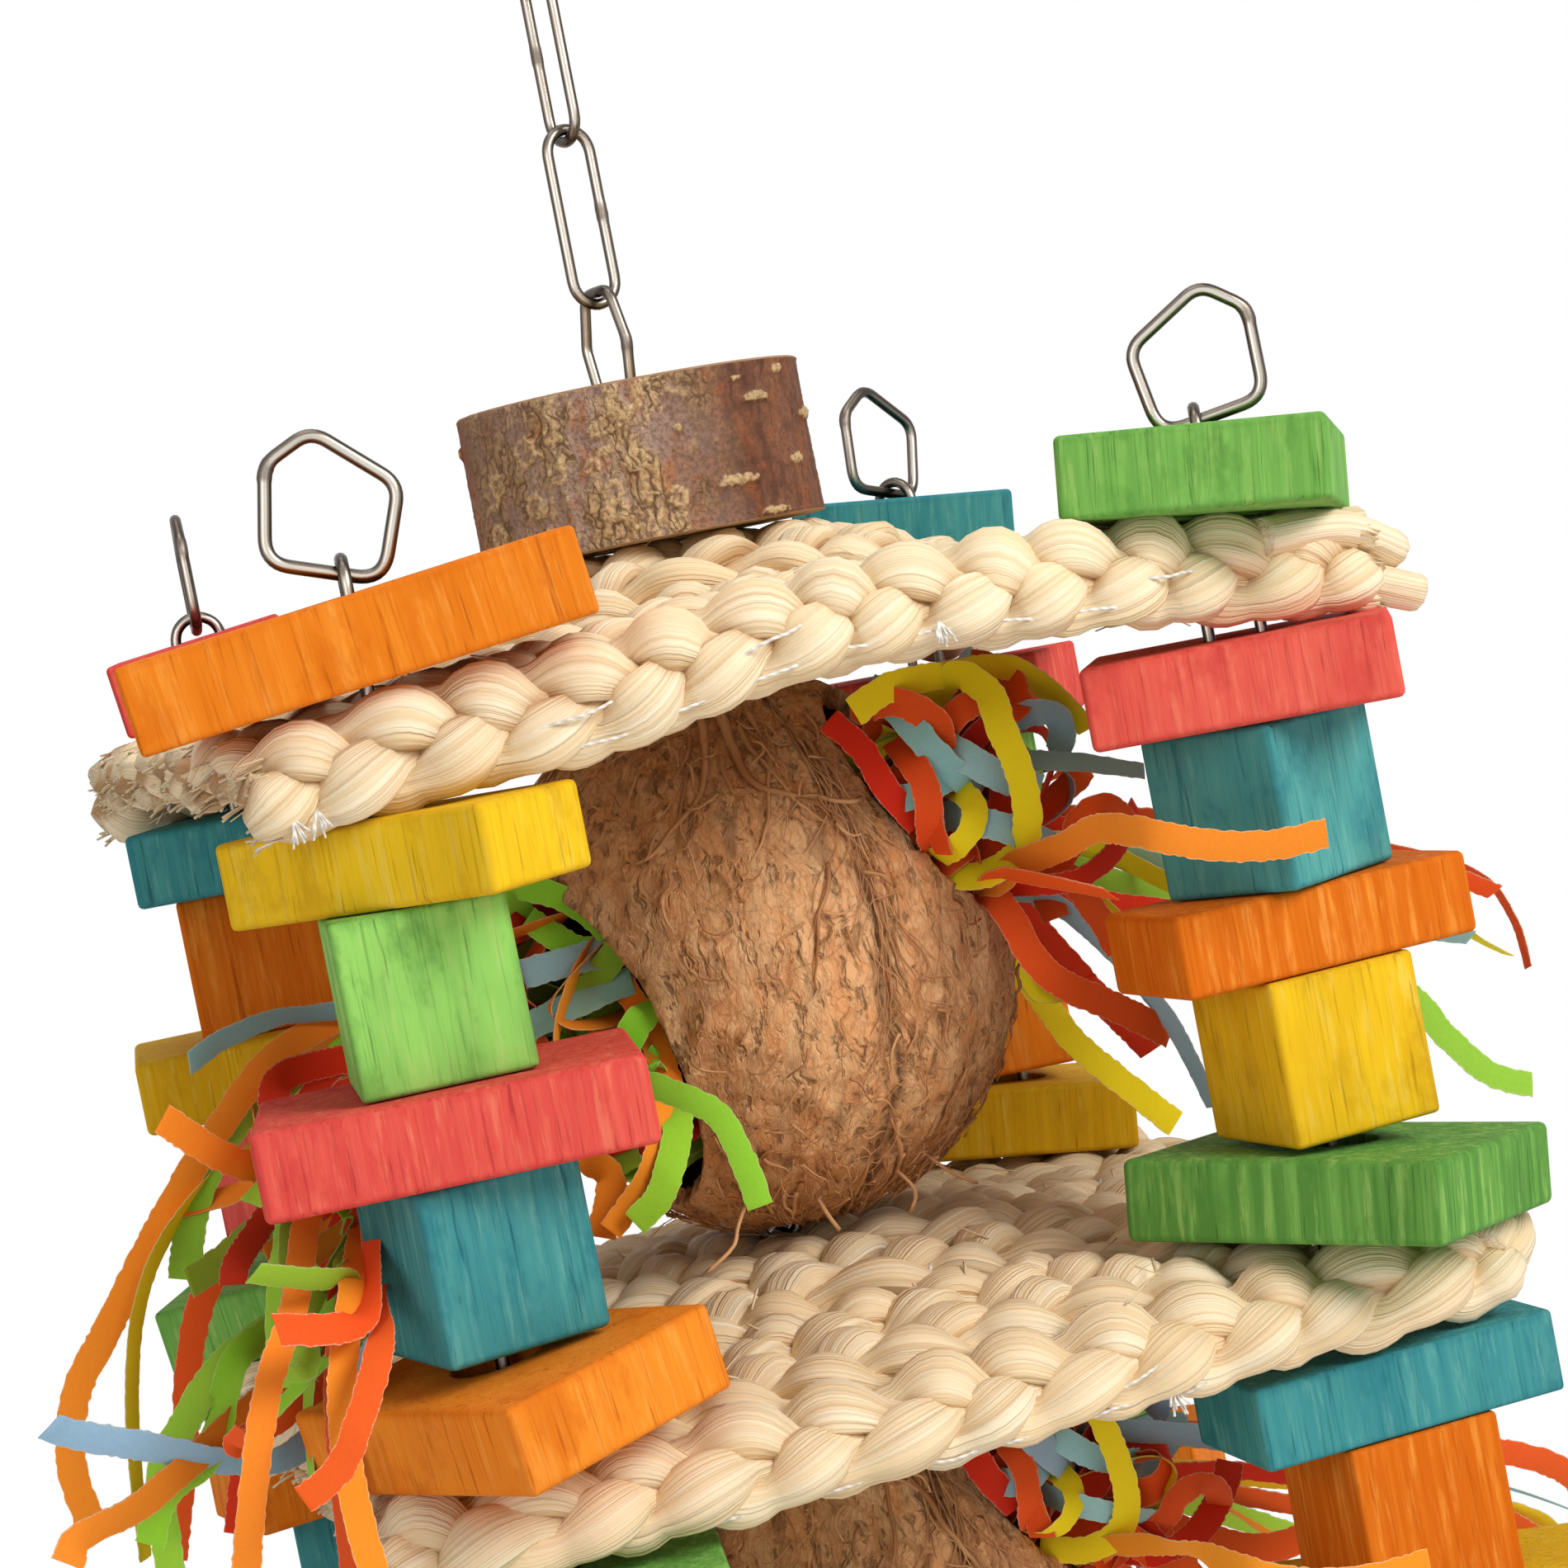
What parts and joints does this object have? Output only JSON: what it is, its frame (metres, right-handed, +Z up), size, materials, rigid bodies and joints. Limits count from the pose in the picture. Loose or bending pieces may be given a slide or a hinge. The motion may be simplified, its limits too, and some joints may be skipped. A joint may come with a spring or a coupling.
{
  "type": "foraging bird toy",
  "caption": "Hanging foraging toy: coconut shells stuffed with paper strips between braided mats, with dyed wood blocks threaded on corner chains.",
  "frame": {"origin": "inside the top of the quick link, where the hook bears", "axes": "+Z up along the hanging chain, -Y towards the viewer of the picture, +X to the viewer's right"},
  "size_m": [0.4138, 0.2967, 0.564],
  "materials": {
    "steel": "dull zinc-plated",
    "bark": "rough bark",
    "braided_husk": "dry braided corn husk",
    "coconut": "raw fibrous husk",
    "paper": "crinkled, dyed in mixed warm colours, green and light blue",
    "wood_orange": "dyed, unvarnished",
    "wood_yellow": "dyed, unvarnished",
    "wood_green": "dyed, unvarnished",
    "wood_red": "dyed, unvarnished",
    "wood_blue": "dyed, unvarnished"
  },
  "bodies": {
    "hook_link": {"quick_link": "steel"},
    "upper_link": {"upper_chain_link": "steel"},
    "lower_link": {"lower_chain_link": "steel"},
    "tower": {"slice_link": "steel", "log_slice": "bark", "top_mat": "braided_husk", "mid_mat": "braided_husk", "centre_chain": "steel", "front_left_chain": "steel", "front_right_chain": "steel", "back_left_chain": "steel", "back_right_chain": "steel"},
    "upper_coconut": {"upper_coconut": "coconut", "upper_paper": "paper"},
    "lower_coconut": {"lower_coconut": "coconut", "lower_paper": "paper"},
    "front_left_top_flat": {"front_left_top_flat": "wood_orange"},
    "front_left_flat_1": {"front_left_flat_1": "wood_yellow"},
    "front_left_cube_1": {"front_left_cube_1": "wood_green"},
    "front_left_flat_2": {"front_left_flat_2": "wood_red"},
    "front_left_cube_2": {"front_left_cube_2": "wood_blue"},
    "front_left_flat_3": {"front_left_flat_3": "wood_orange"},
    "front_left_flat_4": {"front_left_flat_4": "wood_green"},
    "front_left_cube_3": {"front_left_cube_3": "wood_yellow"},
    "front_left_flat_5": {"front_left_flat_5": "wood_blue"},
    "front_left_top_ring": {"front_left_top_ring": "steel"},
    "front_left_foot_ring": {"front_left_foot_ring": "steel"},
    "front_right_top_flat": {"front_right_top_flat": "wood_green"},
    "front_right_flat_1": {"front_right_flat_1": "wood_red"},
    "front_right_cube_1": {"front_right_cube_1": "wood_blue"},
    "front_right_flat_2": {"front_right_flat_2": "wood_orange"},
    "front_right_cube_2": {"front_right_cube_2": "wood_yellow"},
    "front_right_flat_3": {"front_right_flat_3": "wood_green"},
    "front_right_flat_4": {"front_right_flat_4": "wood_blue"},
    "front_right_cube_3": {"front_right_cube_3": "wood_orange"},
    "front_right_flat_5": {"front_right_flat_5": "wood_yellow"},
    "front_right_top_ring": {"front_right_top_ring": "steel"},
    "front_right_foot_ring": {"front_right_foot_ring": "steel"},
    "back_left_top_flat": {"back_left_top_flat": "wood_red"},
    "back_left_flat_1": {"back_left_flat_1": "wood_blue"},
    "back_left_cube_1": {"back_left_cube_1": "wood_orange"},
    "back_left_flat_2": {"back_left_flat_2": "wood_yellow"},
    "back_left_cube_2": {"back_left_cube_2": "wood_red"},
    "back_left_flat_3": {"back_left_flat_3": "wood_green"},
    "back_left_flat_4": {"back_left_flat_4": "wood_orange"},
    "back_left_cube_3": {"back_left_cube_3": "wood_blue"},
    "back_left_flat_5": {"back_left_flat_5": "wood_red"},
    "back_left_top_ring": {"back_left_top_ring": "steel"},
    "back_left_foot_ring": {"back_left_foot_ring": "steel"},
    "back_right_top_flat": {"back_right_top_flat": "wood_blue"},
    "back_right_flat_1": {"back_right_flat_1": "wood_red"},
    "back_right_cube_1": {"back_right_cube_1": "wood_green"},
    "back_right_flat_2": {"back_right_flat_2": "wood_blue"},
    "back_right_cube_2": {"back_right_cube_2": "wood_orange"},
    "back_right_flat_3": {"back_right_flat_3": "wood_yellow"},
    "back_right_flat_4": {"back_right_flat_4": "wood_red"},
    "back_right_cube_3": {"back_right_cube_3": "wood_green"},
    "back_right_flat_5": {"back_right_flat_5": "wood_orange"},
    "back_right_top_ring": {"back_right_top_ring": "steel"},
    "back_right_foot_ring": {"back_right_foot_ring": "steel"}
  },
  "joints": [
    {"name": "upper_link_swing", "type": "hinge", "parent": "hook_link", "child": "upper_link", "pos_m": [0, 0, -0.04125], "axis": [0.9659, 0.2588, 0], "range_deg": [-35, 35]},
    {"name": "lower_link_swing", "type": "hinge", "parent": "upper_link", "child": "lower_link", "pos_m": [0, 0, -0.0803], "axis": [-0.2588, 0.9659, 0], "range_deg": [-35, 35]},
    {"name": "tower_swing", "type": "hinge", "parent": "lower_link", "child": "tower", "pos_m": [0, 0, -0.1204], "axis": [0.9659, 0.2588, 0], "range_deg": [-35, 35]},
    {"name": "upper_coconut_turn", "type": "hinge", "parent": "tower", "child": "upper_coconut", "pos_m": [0, 0, -0.28312], "axis": [0, 0, 1], "range_deg": [-30, 30], "deforming": ["upper_paper"]},
    {"name": "lower_coconut_turn", "type": "hinge", "parent": "tower", "child": "lower_coconut", "pos_m": [0, 0, -0.44597], "axis": [0, 0, 1], "range_deg": [-30, 30], "deforming": ["lower_paper"]},
    {"name": "front_left_top_flat_spin", "type": "hinge", "parent": "tower", "child": "front_left_top_flat", "pos_m": [-0.096, -0.1, -0.19], "axis": [-0.1191, 0, 0.9929], "continuous": true},
    {"name": "front_left_flat_1_spin", "type": "hinge", "parent": "tower", "child": "front_left_flat_1", "pos_m": [-0.096, -0.1, -0.23661], "axis": [0, 0, 1], "continuous": true},
    {"name": "front_left_cube_1_spin", "type": "hinge", "parent": "tower", "child": "front_left_cube_1", "pos_m": [-0.096, -0.1, -0.26541], "axis": [0, 0, 1], "continuous": true},
    {"name": "front_left_flat_2_spin", "type": "hinge", "parent": "tower", "child": "front_left_flat_2", "pos_m": [-0.096, -0.1, -0.29421], "axis": [0, 0, 1], "continuous": true},
    {"name": "front_left_cube_2_spin", "type": "hinge", "parent": "tower", "child": "front_left_cube_2", "pos_m": [-0.096, -0.1, -0.32301], "axis": [0, 0, 1], "continuous": true},
    {"name": "front_left_flat_3_spin", "type": "hinge", "parent": "tower", "child": "front_left_flat_3", "pos_m": [-0.096, -0.1, -0.3551], "axis": [-0.1191, 0, 0.9929], "continuous": true},
    {"name": "front_left_flat_4_spin", "type": "hinge", "parent": "tower", "child": "front_left_flat_4", "pos_m": [-0.096, -0.1, -0.40171], "axis": [0, 0, 1], "continuous": true},
    {"name": "front_left_cube_3_spin", "type": "hinge", "parent": "tower", "child": "front_left_cube_3", "pos_m": [-0.096, -0.1, -0.43051], "axis": [0, 0, 1], "continuous": true},
    {"name": "front_left_flat_5_spin", "type": "hinge", "parent": "tower", "child": "front_left_flat_5", "pos_m": [-0.096, -0.1, -0.45931], "axis": [0, 0, 1], "continuous": true},
    {"name": "front_left_top_ring_tip", "type": "hinge", "parent": "tower", "child": "front_left_top_ring", "pos_m": [-0.096, -0.1, -0.17587], "axis": [0.9312, -0.1642, -0.3256], "range_deg": [-75, 75]},
    {"name": "front_left_foot_ring_tip", "type": "hinge", "parent": "tower", "child": "front_left_foot_ring", "pos_m": [-0.096, -0.1, -0.47061], "axis": [0.1736, 0.9848, 0], "range_deg": [-75, 75]},
    {"name": "front_right_top_flat_spin", "type": "hinge", "parent": "tower", "child": "front_right_top_flat", "pos_m": [0.104, -0.1, -0.19], "axis": [0.1191, 0, 0.9929], "continuous": true},
    {"name": "front_right_flat_1_spin", "type": "hinge", "parent": "tower", "child": "front_right_flat_1", "pos_m": [0.104, -0.1, -0.23661], "axis": [0, 0, 1], "continuous": true},
    {"name": "front_right_cube_1_spin", "type": "hinge", "parent": "tower", "child": "front_right_cube_1", "pos_m": [0.104, -0.1, -0.26541], "axis": [0, 0, 1], "continuous": true},
    {"name": "front_right_flat_2_spin", "type": "hinge", "parent": "tower", "child": "front_right_flat_2", "pos_m": [0.104, -0.1, -0.29421], "axis": [0, 0, 1], "continuous": true},
    {"name": "front_right_cube_2_spin", "type": "hinge", "parent": "tower", "child": "front_right_cube_2", "pos_m": [0.104, -0.1, -0.32301], "axis": [0, 0, 1], "continuous": true},
    {"name": "front_right_flat_3_spin", "type": "hinge", "parent": "tower", "child": "front_right_flat_3", "pos_m": [0.104, -0.1, -0.3551], "axis": [0.1191, 0, 0.9929], "continuous": true},
    {"name": "front_right_flat_4_spin", "type": "hinge", "parent": "tower", "child": "front_right_flat_4", "pos_m": [0.104, -0.1, -0.40171], "axis": [0, 0, 1], "continuous": true},
    {"name": "front_right_cube_3_spin", "type": "hinge", "parent": "tower", "child": "front_right_cube_3", "pos_m": [0.104, -0.1, -0.43051], "axis": [0, 0, 1], "continuous": true},
    {"name": "front_right_flat_5_spin", "type": "hinge", "parent": "tower", "child": "front_right_flat_5", "pos_m": [0.104, -0.1, -0.45931], "axis": [0, 0, 1], "continuous": true},
    {"name": "front_right_top_ring_tip", "type": "hinge", "parent": "tower", "child": "front_right_top_ring", "pos_m": [0.104, -0.1, -0.17731], "axis": [-0.8951, 0.4174, -0.1564], "range_deg": [-75, 75]},
    {"name": "front_right_foot_ring_tip", "type": "hinge", "parent": "tower", "child": "front_right_foot_ring", "pos_m": [0.104, -0.1, -0.47061], "axis": [-0.4226, -0.9063, 0], "range_deg": [-75, 75]},
    {"name": "back_left_top_flat_spin", "type": "hinge", "parent": "tower", "child": "back_left_top_flat", "pos_m": [-0.096, 0.1, -0.19], "axis": [-0.1191, 0, 0.9929], "continuous": true},
    {"name": "back_left_flat_1_spin", "type": "hinge", "parent": "tower", "child": "back_left_flat_1", "pos_m": [-0.096, 0.1, -0.23661], "axis": [0, 0, 1], "continuous": true},
    {"name": "back_left_cube_1_spin", "type": "hinge", "parent": "tower", "child": "back_left_cube_1", "pos_m": [-0.096, 0.1, -0.26541], "axis": [0, 0, 1], "continuous": true},
    {"name": "back_left_flat_2_spin", "type": "hinge", "parent": "tower", "child": "back_left_flat_2", "pos_m": [-0.096, 0.1, -0.29421], "axis": [0, 0, 1], "continuous": true},
    {"name": "back_left_cube_2_spin", "type": "hinge", "parent": "tower", "child": "back_left_cube_2", "pos_m": [-0.096, 0.1, -0.32301], "axis": [0, 0, 1], "continuous": true},
    {"name": "back_left_flat_3_spin", "type": "hinge", "parent": "tower", "child": "back_left_flat_3", "pos_m": [-0.096, 0.1, -0.3551], "axis": [-0.1191, 0, 0.9929], "continuous": true},
    {"name": "back_left_flat_4_spin", "type": "hinge", "parent": "tower", "child": "back_left_flat_4", "pos_m": [-0.096, 0.1, -0.40171], "axis": [0, 0, 1], "continuous": true},
    {"name": "back_left_cube_3_spin", "type": "hinge", "parent": "tower", "child": "back_left_cube_3", "pos_m": [-0.096, 0.1, -0.43051], "axis": [0, 0, 1], "continuous": true},
    {"name": "back_left_flat_5_spin", "type": "hinge", "parent": "tower", "child": "back_left_flat_5", "pos_m": [-0.096, 0.1, -0.45931], "axis": [0, 0, 1], "continuous": true},
    {"name": "back_left_top_ring_tip", "type": "hinge", "parent": "tower", "child": "back_left_top_ring", "pos_m": [-0.096, 0.1, -0.17775], "axis": [0.1384, 0.9848, -0.1045], "range_deg": [-75, 75]},
    {"name": "back_left_foot_ring_tip", "type": "hinge", "parent": "tower", "child": "back_left_foot_ring", "pos_m": [-0.096, 0.1, -0.47061], "axis": [-0.9903, 0.1392, 0], "range_deg": [-75, 75]},
    {"name": "back_right_top_flat_spin", "type": "hinge", "parent": "tower", "child": "back_right_top_flat", "pos_m": [0.104, 0.1, -0.19], "axis": [0.1191, 0, 0.9929], "continuous": true},
    {"name": "back_right_flat_1_spin", "type": "hinge", "parent": "tower", "child": "back_right_flat_1", "pos_m": [0.104, 0.1, -0.23661], "axis": [0, 0, 1], "continuous": true},
    {"name": "back_right_cube_1_spin", "type": "hinge", "parent": "tower", "child": "back_right_cube_1", "pos_m": [0.104, 0.1, -0.26541], "axis": [0, 0, 1], "continuous": true},
    {"name": "back_right_flat_2_spin", "type": "hinge", "parent": "tower", "child": "back_right_flat_2", "pos_m": [0.104, 0.1, -0.29421], "axis": [0, 0, 1], "continuous": true},
    {"name": "back_right_cube_2_spin", "type": "hinge", "parent": "tower", "child": "back_right_cube_2", "pos_m": [0.104, 0.1, -0.32301], "axis": [0, 0, 1], "continuous": true},
    {"name": "back_right_flat_3_spin", "type": "hinge", "parent": "tower", "child": "back_right_flat_3", "pos_m": [0.104, 0.1, -0.3551], "axis": [0.1191, 0, 0.9929], "continuous": true},
    {"name": "back_right_flat_4_spin", "type": "hinge", "parent": "tower", "child": "back_right_flat_4", "pos_m": [0.104, 0.1, -0.40171], "axis": [0, 0, 1], "continuous": true},
    {"name": "back_right_cube_3_spin", "type": "hinge", "parent": "tower", "child": "back_right_cube_3", "pos_m": [0.104, 0.1, -0.43051], "axis": [0, 0, 1], "continuous": true},
    {"name": "back_right_flat_5_spin", "type": "hinge", "parent": "tower", "child": "back_right_flat_5", "pos_m": [0.104, 0.1, -0.45931], "axis": [0, 0, 1], "continuous": true},
    {"name": "back_right_top_ring_tip", "type": "hinge", "parent": "tower", "child": "back_right_top_ring", "pos_m": [0.104, 0.1, -0.17687], "axis": [0.8555, 0.4742, -0.2079], "range_deg": [-75, 75]},
    {"name": "back_right_foot_ring_tip", "type": "hinge", "parent": "tower", "child": "back_right_foot_ring", "pos_m": [0.104, 0.1, -0.47061], "axis": [-0.4848, 0.8746, 0], "range_deg": [-75, 75]}
  ]
}
